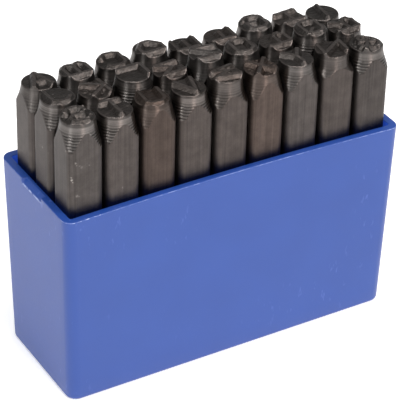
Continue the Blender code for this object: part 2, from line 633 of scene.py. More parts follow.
    def knock(
        self,
        tree: bpy.types.NodeTree,
        place: bpy.types.NodeSocket,
        ragged: bpy.types.NodeSocket,
        exposed: bpy.types.NodeSocket,
        nick: Nick,
    ) -> bpy.types.NodeSocket:
        """Add one nick to the mask of bare steel.

        Args:
            tree: Node tree to add to.
            place: Coordinates in metres.
            ragged: Noise that breaks up the nick's edge.
            exposed: Mask so far.
            nick: The nick.

        Returns:
            The new mask.
        """
        away = add_node(
            tree,
            "VectorMath",
            {1: (nick.x * MM, nick.y * MM, nick.z * MM)},
            {0: place},
            operation="DISTANCE",
        )
        torn = add_node(
            tree,
            "Math",
            {1: 1.3 * nick.size * MM},
            {0: ragged, 2: away.outputs["Value"]},
            operation="MULTIPLY_ADD",
        )
        inside = add_node(
            tree,
            "MapRange",
            {
                "From Min": 0.8 * nick.size * MM,
                "From Max": 1.35 * nick.size * MM,
                "To Min": nick.brightness,
                "To Max": 0.0,
            },
            {"Value": torn.outputs[0]},
        )
        links = {0: exposed, 1: inside.outputs["Result"]}
        return add_node(tree, "Math", links=links, operation="MAXIMUM").outputs[0]

    def tool_lines(self, tree: bpy.types.NodeTree, in_mm: bpy.types.NodeSocket) -> bpy.types.NodeSocket:
        """Add the lines that the making left.

        Args:
            tree: Node tree to add to.
            in_mm: Coordinates in millimetres.

        Returns:
            Output with values from 0 to 1.
        """
        per_mm = 1 / self.line_spacing_mm
        stretch = {
            SteelSurface.DRAWN: (per_mm, per_mm, 0.012 * per_mm),
            SteelSurface.TURNED: (0.01 * per_mm, 0.01 * per_mm, per_mm),
            SteelSurface.MILLED: (0.25 * per_mm, 1.0 * per_mm, 0.6 * per_mm),
            SteelSurface.RUBBED: (1.0 * per_mm, 0.2 * per_mm, 0.5 * per_mm),
        }[self.surface]
        squeezed = add_node(tree, "Mapping", {"Scale": stretch}, {"Vector": in_mm})
        noise = add_node(
            tree,
            "TexNoise",
            {"Scale": 1.0, "Detail": 3.0, "Roughness": 0.6},
            {"Vector": squeezed.outputs["Vector"]},
        )
        return noise.outputs["Fac"]


# Drawn bar: long die lines down each flat, which stretch its sheen sideways.
DRAWN_BAR = BlackenedSteel(
    surface=SteelSurface.DRAWN,
    colour="#4A4644",
    bright="#9A9591",
    roughness=0.42,
    line_spacing_mm=0.55,
    line_depth_mm=0.016,
    line_contrast=0.16,
    anisotropy=0.75,
)

# Turned neck: fine rings, which stretch its highlights up and down.
TURNED_NECK = BlackenedSteel(
    surface=SteelSurface.TURNED,
    colour="#524F4D",
    bright="#B8B5B2",
    roughness=0.38,
    line_spacing_mm=0.22,
    line_depth_mm=0.012,
    line_contrast=0.22,
    anisotropy=0.9,
)

# Milled flanks round the character: coarse cutter lines with burrs that catch the light.
MILLED_FLANK = BlackenedSteel(
    surface=SteelSurface.MILLED,
    colour="#454240",
    bright="#B8B4B0",
    roughness=0.43,
    line_spacing_mm=0.45,
    line_depth_mm=0.08,
    line_contrast=0.42,
    chips_per_mm=0.8,
    chip_size=0.5,
)

# Rubbed lands: the tops of the characters, lighter where handling has thinned the oxide.
RUBBED_LAND = BlackenedSteel(
    surface=SteelSurface.RUBBED,
    colour="#615B58",
    bright="#C8C2BE",
    roughness=0.36,
    line_spacing_mm=0.35,
    line_depth_mm=0.06,
    line_contrast=0.38,
    chips_per_mm=0.8,
    chip_size=0.6,
)

# The first punch of the front row has been knocked about near its left corner.
KNOCKED_BAR = replace(
    DRAWN_BAR,
    bright="#A39E98",
    nicks=(
        Nick(-4.4, -4.6, 67.6, 0.5, 0.6),
        Nick(-4.3, -4.7, 66.9, 0.6, 0.9),
        Nick(-4.1, -4.8, 66.2, 0.4, 0.5),
        Nick(-3.0, -5.0, 61.9, 0.7, 0.3),
        Nick(-2.4, -5.0, 61.6, 0.5, 0.25),
        Nick(-3.2, -5.0, 71.9, 0.6, 0.4),
        Nick(-3.0, -5.0, 71.2, 0.4, 0.3),
        Nick(-2.1, -5.0, 70.8, 0.45, 0.22),
        Nick(-1.5, -5.0, 70.2, 0.7, 0.2),
    ),
)


def sharpen(mesh: bpy.types.Mesh, degrees: float) -> None:
    """Shade a mesh smooth apart from its edges above an angle.

    Args:
        mesh: Mesh to shade.
        degrees: Smallest angle that stays sharp.
    """
    mesh.polygons.foreach_set("use_smooth", np.ones(len(mesh.polygons), bool))
    mesh.set_sharp_from_angle(angle=math.radians(degrees))


def add_piece(name: str, mesh: bpy.types.Mesh) -> bpy.types.Object:
    """Link a mesh as a new object.

    Args:
        name: Name of the piece.
        mesh: Its mesh.

    Returns:
        The object.
    """
    piece = bpy.data.objects.new(name, mesh)
    bpy.context.scene.collection.objects.link(piece)
    return piece


@dataclass
class Case:
    """Open box with drafted walls, a flat rim and a finger recess at each end."""

    length: float = 103.6
    width: float = 39.2
    height: float = 59.0
    corner: float = 3.1
    corner_growth: float = 1.4
    draft: float = math.tan(math.radians(1.2))
    inner_draft: float = math.tan(math.radians(0.15))
    wall: float = 2.3
    floor: float = 2.5
    foot: float = 1.0
    outer_bow: float = 1.5
    inner_bow: float = 1.2
    rim_round: float = 0.26
    inner_round: float = 0.3
    recess_from: float = -4.9
    recess_to: float = 5.9
    recess_depth: float = 1.45
    recess_drop: float = 1.5
    recess_ramp: float = 0.25
    # Depth over which the painted glow inside the wall fades below the rim.
    painted_glow_depth: float = 16.0
    lip_height: float = 4.0
    cavity_foot: float = 0.6
    run_stations: int = 41
    rise_stations: int = 15
    arc_steps: int = 8
    outer_rows: int = 14
    cavity_rows: int = 10
    soft_angle: float = 38.0

    def stations(self) -> list[tuple[float, float, float, float]]:
        """Walk once round the rim.

        Returns:
            Outer point and outward normal of each station, counter-clockwise from above.
        """
        reach_x = self.length / 2 - self.corner
        reach_y = self.width / 2 - self.corner
        ramp = self.recess_ramp
        ends = np.linspace(-reach_y, reach_y, self.rise_stations)
        marks = []
        for edge in (self.recess_from, self.recess_to):
            marks += [edge - ramp, edge - ramp / 2, edge, edge + ramp / 2, edge + ramp]
        clear = [y for y in ends if min(abs(y - mark) for mark in marks) > 0.6]
        rise = sorted(clear + marks)
        run = list(np.linspace(-reach_x, reach_x, self.run_stations))
        found = []
        for x in run[:-1]:
            found.append((x, -self.width / 2, 0.0, -1.0))
        found += self.arc(reach_x, -reach_y, -90)
        for y in rise[1:-1]:
            found.append((self.length / 2, y, 1.0, 0.0))
        found += self.arc(reach_x, reach_y, 0)
        for x in run[::-1][1:-1]:
            found.append((x, self.width / 2, 0.0, 1.0))
        found += self.arc(-reach_x, reach_y, 90)
        for y in rise[::-1][1:-1]:
            found.append((-self.length / 2, y, -1.0, 0.0))
        found += self.arc(-reach_x, -reach_y, 180)[:-1]
        return found

    def arc(self, x: float, y: float, start: float) -> list[tuple[float, float, float, float]]:
        """Return the stations of one rounded corner.

        Args:
            x: Centre along X.
            y: Centre along Y.
            start: First direction in degrees.

        Returns:
            Stations over a quarter turn.
        """
        found = []
        for step in range(self.arc_steps + 1):
            turn = math.radians(start + 90 * step / self.arc_steps)
            c, s = math.cos(turn), math.sin(turn)
            found.append((x + self.corner * c, y + self.corner * s, c, s))
        return found

    def recess_share(self, x: float, y: float) -> float:
        """Return how far the rim is cut into the recess at a place.

        Args:
            x: Place of the station along X.
            y: Place of the station along Y.

        Returns:
            From 0, outside the recess, to 1, inside it.
        """
        if abs(x) < self.length / 2 - 0.01:
            return 0.0
        into = min(y - self.recess_from, self.recess_to - y) / self.recess_ramp
        t = max(0.0, min(1.0, 0.5 + into / 2))
        return t * t * (3 - 2 * t)

    def rim_highlight_share(self, station: tuple[float, float, float, float], cut: float) -> float:
        """Return how strong the painted highlight on the rim's outer edge is at a station, from 0 to 1.

        Args:
            station: Outer point and outward normal at the rim.
            cut: How far the rim is cut into the recess there.

        Returns:
            Strongest by the front corners.
        """
        x, y = station[0], station[1]
        if cut >= 0.5:
            return 0.7
        if y > self.corner - self.width / 2:
            return 0.1
        reach = self.length / 2 - self.corner
        left = math.exp(-(((x + reach - 3.5) / 4.0) ** 2))
        right = math.exp(-(((x - reach) / 2.5) ** 2))
        return min(1.0, 0.25 + 0.75 * left + 0.4 * right)

    def lip(self) -> list[tuple[tuple[float, float], tuple[float, float]]]:
        """Return the rim's section twice: plain, and cut by the recess.

        Returns:
            Pairs of (inset from the outer face, drop below the rim).
        """
        drop, depth, wall = self.recess_drop, self.recess_depth, self.wall
        big, small = self.rim_round, self.inner_round
        return [
            ((0.0, drop + 1.5), (0.0, drop + 1.5)),
            ((0.0, drop + 0.45), (0.0, drop + 0.45)),
            ((0.0, drop), (0.02, drop + 0.14)),
            ((0.0, 0.85 * drop), (0.08 * depth, drop)),
            ((0.0, 0.70 * drop), (0.2 * depth, 0.88 * drop)),
            ((0.0, 0.55 * drop), (0.34 * depth, 0.7 * drop)),
            ((0.0, big), (0.48 * depth, 0.53 * drop)),
            ((0.08 * big, 0.62 * big), (0.6 * depth, 0.39 * drop)),
            ((0.29 * big, 0.29 * big), (0.72 * depth, 0.26 * drop)),
            ((0.62 * big, 0.08 * big), (0.86 * depth, 0.12 * drop)),
            ((big, 0.0), (depth, 0.03 * drop)),
            ((0.5 * wall, 0.0), (depth + 0.1, 0.0)),
            ((0.6 * wall, 0.0), (depth + 0.2, 0.0)),
            ((0.70 * wall, 0.0), (0.75 * wall, 0.0)),
            ((wall - small, 0.0), (wall - small, 0.0)),
            ((wall - 0.29 * small, 0.29 * small), (wall - 0.29 * small, 0.29 * small)),
            ((wall, small), (wall, small)),
        ]

    def place(
        self, station: tuple[float, float, float, float], inset: float, z: float, inner: bool
    ) -> tuple[float, float, float]:
        """Put one point of a station's section in space.

        Args:
            station: Outer point and outward normal at the rim.
            inset: Distance in from the outer face, before draft.
            z: Height.
            inner: True on the cavity side of the rim.

        Returns:
            The point in metres.
        """
        x, y, across_x, across_y = station
        below = self.height - z
        inset += below * (self.inner_draft if inner else self.draft)
        grown = 0.0 if inner else self.corner_growth * below / self.height
        reach_x = self.length / 2 - self.corner
        reach_y = self.width / 2 - self.corner
        held_x = max(-reach_x, min(reach_x, x))
        held_y = max(-reach_y, min(reach_y, y))
        px = x - held_x * grown / reach_x + across_x * (grown - inset)
        py = y - held_y * grown / reach_y + across_y * (grown - inset)
        if y < 0:
            bow = self.inner_bow if inner else self.outer_bow
            share = 1 - (2 * x / self.length) ** 2
            py += bow * (z / self.height) ** 2 * max(0.0, share)
        return (px * MM, py * MM, z * MM)

    def mesh(self) -> bpy.types.Mesh:
        """Loft the section round the stations and close the floor, inside and out.

        Returns:
            The case's closed mesh, with the strength of its painted highlight and its painted glow at each
            point.
        """
        stations = self.stations()
        upright = self.height - self.lip_height - self.foot
        sections, rim_highlights = [], []
        for station in stations:
            cut = self.recess_share(station[0], station[1])
            section = []
            highlight_strength = self.rim_highlight_share(station, cut)
            for turn in (90, 67, 45, 22, 0):
                lean = math.radians(turn)
                inset = self.foot * (1 - math.cos(lean))
                section.append((inset, self.foot * (1 - math.sin(lean)), False))
            for share in np.linspace(0, 1, self.outer_rows)[1:-1]:
                section.append((0.0, self.foot + upright * share, False))
            for plain, recessed in self.lip():
                inset = plain[0] + (recessed[0] - plain[0]) * cut
                drop = plain[1] + (recessed[1] - plain[1]) * cut
                section.append((inset, self.height - drop, inset > self.wall / 2 + 0.01))
                # Painted highlight on the rim's outer rounding and on the recess floor's outer edge.
                outer = drop < 0.8 * self.rim_round and inset < 0.4 * self.rim_round
                edge = outer or (cut > 0.5 and 0.0 < drop - 0.9 * self.recess_drop < 0.3)
                rim_highlights.append((len(sections), len(section) - 1, highlight_strength if edge else 0.0))
            cavity_row = len(section) - 1
            for share in np.linspace(1, 0, self.cavity_rows)[1:-1]:
                z = self.floor + 1 + (self.height - 2 * self.floor) * share
                section.append((self.wall, z, True))
            for turn in (0, 30, 60, 90):
                lean = math.radians(turn)
                inset = self.wall + self.cavity_foot * (1 - math.cos(lean))
                z = self.floor + self.cavity_foot * (1 - math.sin(lean))
                section.append((inset, z, True))
            sections.append([self.place(station, *point) for point in section])
        depth = len(sections[0])
        count = len(sections)
        points = [point for section in sections for point in section]
        faces = []
        for i in range(count):
            here, there = i * depth, (i + 1) % count * depth
            for k in range(depth - 1):
                faces.append((here + k, there + k, there + k + 1, here + k + 1))
        faces.append([i * depth for i in range(count)][::-1])
        faces.append([i * depth + depth - 1 for i in range(count)])
        mesh = bpy.data.meshes.new("case_shell")
        mesh.from_pydata(points, [], faces)
        painted_rim_highlight = np.zeros(len(points), np.float32)
        for i, k, share in rim_highlights:
            painted_rim_highlight[i * depth + k] = share
        mesh.attributes.new("painted_rim_highlight", "FLOAT", "POINT").data.foreach_set("value", painted_rim_highlight)
        # Painted glow on the cavity side, fading with depth below the rim.
        through = [
            math.exp((z / MM - self.height) / self.painted_glow_depth) if i % depth >= cavity_row else 0.0
            for i, (_, _, z) in enumerate(points)
        ]
        mesh.attributes.new("through", "FLOAT", "POINT").data.foreach_set("value", through)
        mesh.validate()
        sharpen(mesh, self.soft_angle)
        return mesh

    def build(self) -> bpy.types.Object:
        """Make the case, dress it and put it on its body.

        Returns:
            The new object.
        """
        piece = add_piece("case_shell", self.mesh())
        piece.data.materials.append(MouldedPolypropylene().material("moulded_polypropylene"))
        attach(piece, "case")
        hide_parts("case_box")
        return piece


# How far below the land each neck's cone meets the middle of a flat, and the bar's corners.
ARCHES = {
    "s": (3.6, 8.4),
    "t": (3.2, 7.8),
    "u": (2.2, 6.7),
    "v": (3.8, 7.6),
    "w": (5.2, 8.2),
    "x": (3.2, 7.6),
    "y": (3.6, 7.8),
    "z": (4.6, 6.6),
    "&": (3.6, 7.1),
}

# Radii that each neck is turned to, from the face down to past the bar's corners.
NECK_RADII = [4.62, 4.65, 4.77, 5.0, 5.37, 5.81, 6.28, 6.75]

# A stroke visits points of a five by seven grid: columns a to e, rows 1 to 7.
STROKES: dict[str, tuple[str, ...]] = {
    "a": ("a1 c7 e1", "b3 d3"),
    "b": ("a1 a7 d7 e6 e5 d4 a4", "d4 e3 e2 d1 a1"),
    "c": ("e6 d7 b7 a6 a2 b1 d1 e2",),
    "d": ("a1 a7 c7 e5 e3 c1 a1",),
    "e": ("e7 a7 a1 e1", "a4 d4"),
    "f": ("e7 a7 a1", "a4 d4"),
    "g": ("e6 d7 b7 a6 a2 b1 d1 e2 e4 c4",),
    "h": ("a1 a7", "e1 e7", "a4 e4"),
    "i": ("c1 c7",),
    "j": ("e7 e2 d1 b1 a2",),
    "k": ("a1 a7", "e7 a4 e1"),
    "l": ("a7 a1 e1",),
    "m": ("a1 a7 c3 e7 e1",),
    "n": ("a1 a7 e1 e7",),
    "o": ("b7 a6 a2 b1 d1 e2 e6 d7 b7",),
    "p": ("a1 a7 d7 e6 e5 d4 a4",),
    "q": ("b7 a6 a2 b1 d1 e2 e6 d7 b7", "c3 e1"),
    "r": ("a1 a7 d7 e6 e5 d4 a4", "c4 e1"),
    "s": ("e6 d7 b7 a6 a5 b4 d4 e3 e2 d1 b1 a2",),
    "t": ("a7 e7", "c7 c1"),
    "u": ("a7 a2 b1 d1 e2 e7",),
    "v": ("a7 c1 e7",),
    "w": ("a7 b1 c5 d1 e7",),
    "x": ("a1 e7", "a7 e1"),
    "y": ("a7 c4 e7", "c4 c1"),
    "z": ("a7 e7 a1 e1",),
    "&": ("e1 b5 b6 c7 d6 d5 a3 a2 b1 c1 e3",),
}


@dataclass
class Character:
    """Raised mirror-image character: a narrow land with long sloping flanks."""

    letter: str
    quarter_turns: int
    twist: float
    pitting: float
    height: float = 6.6
    width: float = 5.2
    land: float = 0.9
    relief: float = 1.0
    slope: float = 1.2
    face_radius: float = 4.38
    mesh_spacing: float = 0.3
    snap: float = 0.03
    foot_margin: float = 0.12
    grid_margin: float = 0.15

    def segments(self) -> np.ndarray:
        """Turn the strokes into straight pieces, mirrored and turned as on the punch.

        Returns:
            Start and end of each piece in millimetres, shape (n, 2, 2).
        """
        spin = self.quarter_turns * math.pi / 2 + self.twist
        c, s = math.cos(spin), math.sin(spin)
        found = []
        for stroke in STROKES[self.letter]:
            points = []
            for code in stroke.split():
                x = -("abcde".index(code[0]) / 4 - 0.5) * self.width
                y = ((int(code[1]) - 1) / 6 - 0.5) * self.height
                points.append((c * x - s * y, s * x + c * y))
            found += list(zip(points, points[1:]))
        return np.array(found)

    def drop(self, points: np.ndarray) -> np.ndarray:
        """Return how far the surface lies below the land at each point.

        Args:
            points: Places on the head, shape (n, 2).

        Returns:
            Drops in millimetres, 0 on the land.
        """
        pieces = self.segments()
        start = pieces[:, 0]
        run = pieces[:, 1] - start
        away = points[:, None] - start
        share = (away * run).sum(2) / (run * run).sum(1)
        nearest = away - np.clip(share, 0, 1)[..., None] * run
        distance = np.sqrt((nearest * nearest).sum(2)).min(1)
        return np.clip((distance - self.land / 2) * self.slope, 0, self.relief)

    def pits(self, points: np.ndarray) -> np.ndarray:
        """Return the small unevenness of the struck and tumbled face at each point.

        Args:
            points: Places on the head, shape (n, 2).

        Returns:
            Heights in millimetres.
        """
        place = sum(ord(letter) for letter in self.letter) * 3.7
        return np.array(
            [
                self.pitting * noise.noise(Vector((1.1 * x, 1.1 * y, place)))
                + 0.6 * self.pitting * noise.noise(Vector((3.1 * x, 3.1 * y, place + 40)))
                for x, y in points
            ]
        )

    def outline(self, reach: float) -> list[list[tuple[float, float]]]:
        """Run a closed loop round each stroke.

        Args:
            reach: Distance of the loop from the stroke's centre line.

        Returns:
            The points of each loop.
        """
        loops = []
        for start, end in self.segments():
            heading = math.atan2(end[1] - start[1], end[0] - start[0])
            loop = []
            for centre, base in ((end, -90), (start, 90)):
                for step in range(7):
                    turn = heading + math.radians(base + 30 * step)
                    loop.append((centre[0] + reach * math.cos(turn), centre[1] + reach * math.sin(turn)))
            loops.append(loop)
        return loops

    def clipped_edges(
        self, reach: float, limit: float
    ) -> list[tuple[tuple[float, float], tuple[float, float]]]:
        """Return an outline's edges, cut off at a circle.

        Args:
            reach: Distance of the outline from the strokes' centre lines.
            limit: Radius of the circle.

        Returns:
            Start and end of each edge that is left.
        """
        kept = []
        for loop in self.outline(reach):
            for start, end in zip(loop, loop[1:] + loop[:1]):
                a, b = np.array(start), np.array(end)
                run = b - a
                qa = run @ run
                qb = 2 * a @ run
                qc = a @ a - limit**2
                root = qb * qb - 4 * qa * qc
                if root <= 0:
                    continue
                low = max(0.0, (-qb - math.sqrt(root)) / (2 * qa))
                high = min(1.0, (-qb + math.sqrt(root)) / (2 * qa))
                if high - low > 0.02:
                    kept.append((tuple(a + low * run), tuple(a + high * run)))
        return kept

    def crossings(self) -> list[float]:
        """Find where the land's edge meets the rim of the face.

        Returns:
            Directions in radians.
        """
        found = []
        for edge in self.clipped_edges(self.land / 2, self.face_radius):
            for x, y in edge:
                if math.hypot(x, y) > self.face_radius - 1e-6:
                    found.append(math.atan2(y, x) % math.tau)
        return found

    def surface(self, rim: list[tuple[float, float]]) -> tuple[list[tuple[float, float]], list[list[int]]]:
        """Triangulate the face inside its rim, following the land's edges.

        Args:
            rim: Points round the rim of the face, in order.

        Returns:
            Points, the rim's first and in the same order, and triangles.
        """
        points = [Vector(p) for p in rim]
        edges = [(i, (i + 1) % len(rim)) for i in range(len(rim))]
        foot = self.land / 2 + self.relief / self.slope
        kept = self.clipped_edges(self.land / 2, self.face_radius)
        kept += self.clipped_edges(foot, self.face_radius - self.foot_margin)
        for start, end in kept:
            pair = []
            for x, y in (start, end):
                gaps = [(point.x - x) ** 2 + (point.y - y) ** 2 for point in points]
                nearest = gaps.index(min(gaps))
                if math.dist(points[nearest], (x, y)) < self.snap:
                    pair.append(nearest)
                else:
                    points.append(Vector((x, y)))
                    pair.append(len(points) - 1)
            if pair[0] != pair[1]:
                edges.append((pair[0], pair[1]))
        steps = np.arange(-self.face_radius, self.face_radius, self.mesh_spacing)
        grid = np.array([(x, y) for x in steps for y in steps])
        grid = grid[np.hypot(grid[:, 0], grid[:, 1]) < self.face_radius - self.grid_margin]
        drops = self.drop(grid)
        bare = drops > 0.1 * self.slope
        points += [Vector(p) for p in grid[bare]]
        result = delaunay_2d_cdt(points, edges, [], 0, 1e-5)
        made, triangles, sources = result[0], result[2], result[3]
        order = {}
        for index, origin in enumerate(sources):
            for source in origin:
                if source < len(rim):
                    order[source] = index
        if len(order) != len(rim):
            raise ValueError(f"the face of {self.letter} lost part of its rim")
        place = [order[i] for i in range(len(rim))]
        rest = [i for i in range(len(made)) if i not in set(place)]
        where = {old: new for new, old in enumerate(place + rest)}
        flat = [(made[i].x, made[i].y) for i in place + rest]
        return flat, [[where[i] for i in triangle] for triangle in triangles]


@dataclass
class Punch:
    """One loose punch: drawn square bar, turned neck, milled character."""

    letter: str
    x: float
    y: float
    length: float
    quarter_turns: int
    shade: float
    warmth: float
    wear: float
    ring_depth: float
    drift: float
    twist: float
    pitting: float
    arch_top: float
    arch_foot: float
    foot: float = 2.8
    side: float = 10.0
    corner: float = 1.9
    foot_radius: float = 5.75
    eased_radius: float = 6.45
    eased_height: float = 0.8
    chamfer: float = 0.28
    ring_pitch: float = 0.75
    columns: int = 84
    bar_rows: int = 8
    soft_angle: float = 27.0

    @property
    def node(self) -> str:
        """Name of the CAD node that this punch stands for."""
        return "punch_" + ("ampersand" if self.letter == "&" else self.letter)

    def bar_radius(self, turn: float) -> float:
        """Return how far the bar's surface is from its axis.

        Args:
            turn: Direction in radians.

        Returns:
            Distance in millimetres.
        """
        c, s = abs(math.cos(turn)), abs(math.sin(turn))
        c, s = max(c, s), min(c, s)
        half, rest = self.side / 2, self.side / 2 - self.corner
        if half * s / c <= rest:
            return half / c
        along = rest * (c + s)
        off = rest * (c - s)
        return along + math.sqrt(self.corner**2 - off * off)

    def neck_profile(self) -> tuple[list[float], list[float]]:
        """Return the profile that the lathe cuts.

        Returns:
            Drops below the top of the land, and the turned radius at each.
        """
        top, foot = self.arch_top, self.arch_foot
        drops = [0.0, 0.41 * top, 0.7 * top, top]
        drops += [top + (foot - top) * share for share in (0.34, 0.68, 1.0, 1.3)]
        return drops, NECK_RADII

    def levels(self) -> np.ndarray:
        """Return the drops of the mesh's rows through the neck, lowest row first."""
        return np.arange(self.arch_foot + 0.4, 1.7, -self.ring_pitch / 4)

    def directions(self, character: Character) -> list[float]:
        """Return the directions of the mesh's columns.

        Args:
            character: Character whose land has to meet the rim at a column.

        Returns:
            Directions in radians, in order.
        """
        fixed = [math.tau * i / self.columns for i in range(self.columns)]
        flat_end = math.atan2(self.side / 2 - self.corner, self.side / 2)
        for quarter in range(4):
            for offset in (-flat_end, flat_end):
                fixed.append((quarter * math.pi / 2 + offset) % math.tau)
        needed = []
        for turn in sorted(character.crossings()):
            if not needed or turn - needed[-1] > 0.004:
                needed.append(turn)
        if len(needed) > 1 and needed[0] + math.tau - needed[-1] < 0.004:
            needed.pop()
        kept = [t for t in fixed if all(self.apart(t, n) > 0.02 for n in needed)]
        turns = sorted(kept + needed)
        return [t for i, t in enumerate(turns) if i == 0 or t - turns[i - 1] > 0.003]

    @staticmethod
    def apart(one: float, other: float) -> float:
        """Return the angle between two directions."""
        gap = abs(one - other) % math.tau
        return min(gap, math.tau - gap)

    def groove(self, drop: float) -> float:
        """Return how deep the lathe's feed cut at a drop, as a share of the ring depth."""
        phase = (drop + self.drift) / self.ring_pitch % 1.0
        return (1 - abs(2 * phase - 1)) * max(0.0, min(1.0, (drop - 2.4) / 2.0))

    def column(self, turn: float, drop_at_rim: float) -> tuple[list[tuple[float, float]], int]:
        """Return one column of the mesh.

        Args:
            turn: Direction in radians.
            drop_at_rim: How far the face's rim lies below the land here.

        Returns:
            Radius and height of each point, foot first, and the row where the neck begins.
        """
        drops, radii = self.neck_profile()
        bar = self.bar_radius(turn)
        crease = float(np.interp(bar, radii, drops))
        levels = self.levels()
        snapped = int(np.argmin(np.abs(levels - crease)))
        levels[snapped] = crease
        eased = self.eased_height
        found = [(min(bar, self.foot_radius), 0.0), (min(bar, self.eased_radius), eased)]
        lowest = self.length - float(levels[0])
        for share in np.linspace(0, 1, self.bar_rows + 1)[1:-1]:
            found.append((bar, eased + (lowest - eased) * share))
        start = len(found) + snapped
        last = float(levels[-1])
        edge = drop_at_rim + self.chamfer
        upper = [last + (edge - last) * share for share in (0.33, 0.67, 1.0)]
        for drop in [float(level) for level in levels] + upper:
            turned = float(np.interp(drop, drops, radii)) - self.ring_depth * self.groove(drop)
            found.append((min(bar, turned), self.length - drop))
        found.append((found[-1][0] - 0.3 * self.chamfer, self.length - drop_at_rim - 0.1))
        return found, start

    def mesh(self) -> bpy.types.Mesh:
        """Build the closed mesh of the whole punch.

        Returns:
            The mesh, with a material slot for each kind of surface.
        """
        character = Character(self.letter, self.quarter_turns, self.twist, self.pitting)
        turns = self.directions(character)
        radius = character.face_radius
        rim = [(radius * math.cos(t), radius * math.sin(t)) for t in turns]
        rim_drops = character.drop(np.array(rim))
        columns = [self.column(t, float(d)) for t, d in zip(turns, rim_drops)]
        depth = len(columns[0][0])
        points, painted_ring_sheen = [], []
        for turn, (row, start) in zip(turns, columns):
            for k, (radius, z) in enumerate(row):
                points.append((radius * math.cos(turn), radius * math.sin(turn), z))
                # Painted highlights on the neck's ring crests and painted shade in their grooves.
                turned = k > start and k < depth - 4
                painted_ring_sheen.append(1 - 2 * self.groove(self.length - z) if turned else 0.0)
        faces, kinds = [], []
        count = len(turns)
        for i in range(count):
            j = (i + 1) % count
            neck = (columns[i][1] + columns[j][1]) / 2
            here, there = i * depth, j * depth
            for k in range(depth - 1):
                faces.append((here + k, there + k, there + k + 1, here + k + 1))
                kinds.append(SteelSurface.TURNED if k + 0.5 > neck else SteelSurface.DRAWN)
        faces.append([i * depth for i in range(count)][::-1])
        kinds.append(SteelSurface.DRAWN)
        flat, triangles = character.surface(rim)
        drops = character.drop(np.array(flat))
        uneven = character.pits(np.array(flat))
        uneven[:count] = 0
        first = len(points)
        points += [(x, y, self.length - d + u) for (x, y), d, u in zip(flat, drops, uneven)]
        for i in range(count):
            j = (i + 1) % count
            top = depth - 1
            faces.append((i * depth + top, j * depth + top, first + j, first + i))
            kinds.append(SteelSurface.RUBBED)
        for triangle in triangles:
            a, b, c = (flat[i] for i in triangle)
            ccw = (b[0] - a[0]) * (c[1] - a[1]) - (b[1] - a[1]) * (c[0] - a[0]) > 0
            ordered = triangle if ccw else triangle[::-1]
            faces.append([first + i for i in ordered])
            on_land = max(drops[i] for i in triangle) < 1e-4
            kinds.append(SteelSurface.RUBBED if on_land else SteelSurface.MILLED)
        mesh = bpy.data.meshes.new(self.node)
        mesh.from_pydata([tuple(float(c) * MM for c in p) for p in points], [], faces)
        mesh.polygons.foreach_set("material_index", [kind.value for kind in kinds])
        self.mark(mesh, painted_ring_sheen)
        mesh.validate()
        sharpen(mesh, self.soft_angle)
        return mesh

    def mark(self, mesh: bpy.types.Mesh, painted_ring_sheen: Sequence[float]) -> None:
        """Store this punch's own tone with its painted ring highlights, warmth, wear and pattern offset on
        its mesh.

        Args:
            mesh: Mesh to store them on.
            painted_ring_sheen: For the first vertices, 1 for a painted highlight on a ring's crest and -1
                for painted shade in its groove.
        """
        count = len(mesh.vertices)
        shade = np.full(count, self.shade)
        # Painted ring highlights and shade: crests lighter, grooves darker, in step with the ring depth.
        shade[: len(painted_ring_sheen)] *= 1 + 5 * self.ring_depth * np.array(painted_ring_sheen)
        for name, value in (("shade", shade), ("warmth", self.warmth), ("wear", self.wear)):
            layer = mesh.attributes.new(name, "FLOAT", "POINT")
            layer.data.foreach_set("value", (np.zeros(count) + value).astype(np.float32))
        layer = mesh.attributes.new("drift", "FLOAT_VECTOR", "POINT")
        offset = np.array([self.drift * 7.3, self.drift * 3.1, self.drift * 11.7], np.float32)
        layer.data.foreach_set("vector", np.tile(offset, count))

    def build(self, materials: Iterable[bpy.types.Material]) -> bpy.types.Object:
        """Make the punch, dress it and put it on its body.

        Args:
            materials: One material per kind of steel surface.

        Returns:
            The new object.
        """
        piece = add_piece(self.node + "_steel", self.mesh())
        for material in materials:
            piece.data.materials.append(material)
        piece.location = (self.x * MM, self.y * MM, self.foot * MM)
        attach(piece, self.node + "_body")
        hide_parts(self.node)
        return piece


